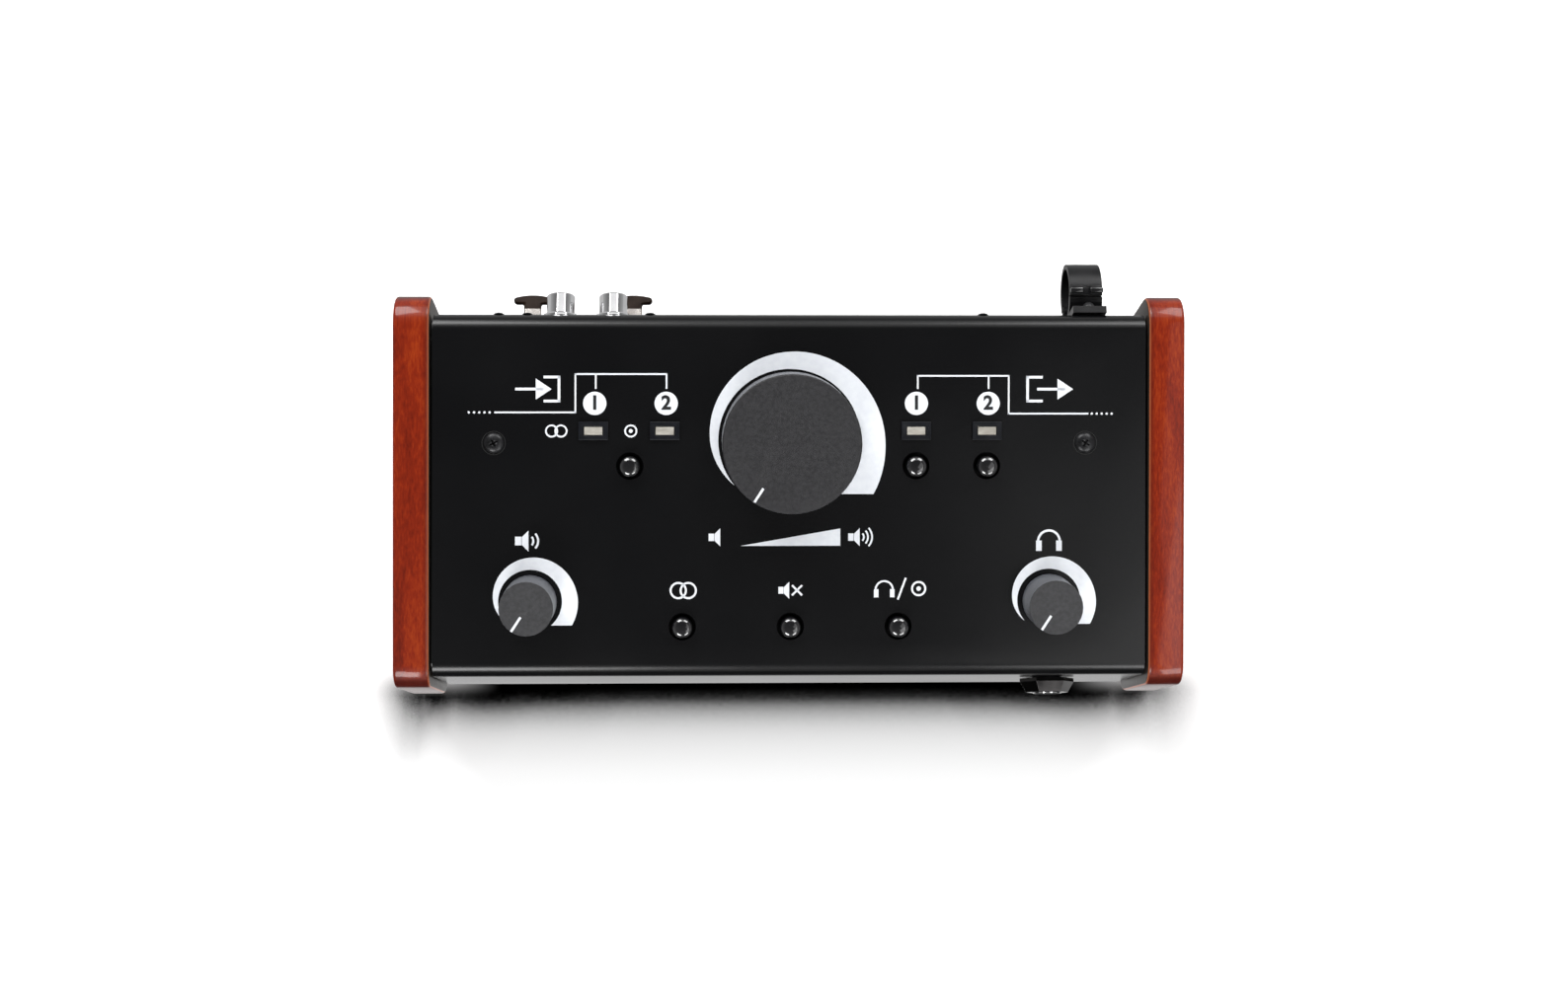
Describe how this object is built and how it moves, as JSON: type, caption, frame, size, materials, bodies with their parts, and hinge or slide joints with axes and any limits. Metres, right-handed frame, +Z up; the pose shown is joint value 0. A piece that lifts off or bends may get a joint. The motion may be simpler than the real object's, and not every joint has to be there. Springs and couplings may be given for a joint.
{
  "type": "studio monitor controller",
  "caption": "Desktop studio monitor controller with a sloping black steel case between lacquered wood cheeks, turning knobs, push buttons, audio sockets and a cable clamp.",
  "frame": {"origin": "on the desk, under the middle of the whole object's bounding box", "axes": "+Z up, -Y towards the user and the low front edge, +Y towards the rear sockets, +X to the user's right"},
  "size_m": [0.238, 0.1284, 0.0976],
  "materials": {
    "lacquered_wood": "red-brown lacquer, gloss",
    "black_steel": "satin black powder coat",
    "plain_steel": "plain",
    "knob_plastic": "matt, fine texture",
    "button_plastic": "gloss",
    "bezel_plastic": "satin",
    "lens_plastic": "diffusing",
    "socket_plastic": "satin",
    "clamp_nylon": "satin",
    "bright_chrome": "polished",
    "latch_metal": "dark, worn at the edges",
    "foot_rubber": "matt",
    "board_laminate": "solder mask"
  },
  "bodies": {
    "case": {"base_tray": "black_steel", "bezel_input_1": "bezel_plastic", "bezel_input_2": "bezel_plastic", "bezel_output_1": "bezel_plastic", "bezel_output_2": "bezel_plastic", "clamp_base": "clamp_nylon", "combo_socket_1": "socket_plastic", "combo_socket_2": "socket_plastic", "control_board": "board_laminate", "foot_front_left": "foot_rubber", "foot_front_right": "foot_rubber", "foot_rear_left": "foot_rubber", "foot_rear_right": "foot_rubber", "headphone_nut": "bright_chrome", "headphone_socket": "bright_chrome", "jack_board": "board_laminate", "lens_input_1": "lens_plastic", "lens_input_2": "lens_plastic", "lens_output_1": "lens_plastic", "lens_output_2": "lens_plastic", "output_socket_1": "socket_plastic", "output_socket_2": "socket_plastic", "output_socket_3": "socket_plastic", "output_socket_4": "socket_plastic", "phono_socket_1": "bright_chrome", "phono_socket_2": "bright_chrome", "potentiometer_auxiliary": "plain_steel", "potentiometer_headphone": "plain_steel", "potentiometer_level": "plain_steel", "power_inlet": "socket_plastic", "side_plate_left": "black_steel", "side_plate_right": "black_steel", "switch_input_select": "socket_plastic", "switch_lower_left": "socket_plastic", "switch_lower_middle": "socket_plastic", "switch_lower_right": "socket_plastic", "switch_output_1": "socket_plastic", "switch_output_2": "socket_plastic", "top_cover": "black_steel", "wood_cheek_left": "lacquered_wood", "wood_cheek_right": "lacquered_wood"},
    "input_select_button": {"button_input_select": "button_plastic"},
    "lower_left_button": {"button_lower_left": "button_plastic"},
    "lower_middle_button": {"button_lower_middle": "button_plastic"},
    "lower_right_button": {"button_lower_right": "button_plastic"},
    "output_1_button": {"button_output_1": "button_plastic"},
    "output_2_button": {"button_output_2": "button_plastic"},
    "cable_strap": {"clamp_strap": "clamp_nylon"},
    "auxiliary_knob": {"knob_auxiliary": "knob_plastic", "shaft_auxiliary": "plain_steel"},
    "headphone_knob": {"knob_headphone": "knob_plastic", "shaft_headphone": "plain_steel"},
    "level_knob": {"knob_level": "knob_plastic", "shaft_level": "plain_steel"},
    "latch_1": {"latch_tab_1": "latch_metal"},
    "latch_2": {"latch_tab_2": "latch_metal"}
  },
  "joints": [
    {"name": "level_turn", "type": "hinge", "parent": "case", "child": "level_knob", "pos_m": [0, 0.00713, 0.07722], "axis": [0, 0.3007, -0.9537], "range_deg": [0, 294]},
    {"name": "auxiliary_turn", "type": "hinge", "parent": "case", "child": "auxiliary_knob", "pos_m": [-0.0781, -0.03902, 0.06267], "axis": [0, 0.3007, -0.9537], "range_deg": [0, 294]},
    {"name": "headphone_turn", "type": "hinge", "parent": "case", "child": "headphone_knob", "pos_m": [0.0781, -0.03902, 0.06267], "axis": [0, 0.3007, -0.9537], "range_deg": [0, 294]},
    {"name": "input_select_press", "type": "slide", "parent": "case", "child": "input_select_button", "axis": [0, 0.3007, -0.9537], "range_m": [0, 0.0015], "stiffness_N_per_m": 400, "springref_m": -0.0005},
    {"name": "output_1_press", "type": "slide", "parent": "case", "child": "output_1_button", "axis": [0, 0.3007, -0.9537], "range_m": [0, 0.0015], "stiffness_N_per_m": 400, "springref_m": -0.0005},
    {"name": "output_2_press", "type": "slide", "parent": "case", "child": "output_2_button", "axis": [0, 0.3007, -0.9537], "range_m": [0, 0.0015], "stiffness_N_per_m": 400, "springref_m": -0.0005},
    {"name": "lower_left_press", "type": "slide", "parent": "case", "child": "lower_left_button", "axis": [0, 0.3007, -0.9537], "range_m": [0, 0.0015], "stiffness_N_per_m": 400, "springref_m": -0.0005},
    {"name": "lower_middle_press", "type": "slide", "parent": "case", "child": "lower_middle_button", "axis": [0, 0.3007, -0.9537], "range_m": [0, 0.0015], "stiffness_N_per_m": 400, "springref_m": -0.0005},
    {"name": "lower_right_press", "type": "slide", "parent": "case", "child": "lower_right_button", "axis": [0, 0.3007, -0.9537], "range_m": [0, 0.0015], "stiffness_N_per_m": 400, "springref_m": -0.0005},
    {"name": "latch_1_push", "type": "slide", "parent": "case", "child": "latch_1", "axis": [0, -1, 0], "range_m": [0, 0.002], "stiffness_N_per_m": 500, "springref_m": -0.0005},
    {"name": "latch_2_push", "type": "slide", "parent": "case", "child": "latch_2", "axis": [0, -1, 0], "range_m": [0, 0.002], "stiffness_N_per_m": 500, "springref_m": -0.0005},
    {"name": "strap_open", "type": "hinge", "parent": "case", "child": "cable_strap", "pos_m": [0.091, 0.05144, 0.06384], "axis": [-1, 0, 0], "range_deg": [0, 75]}
  ]
}
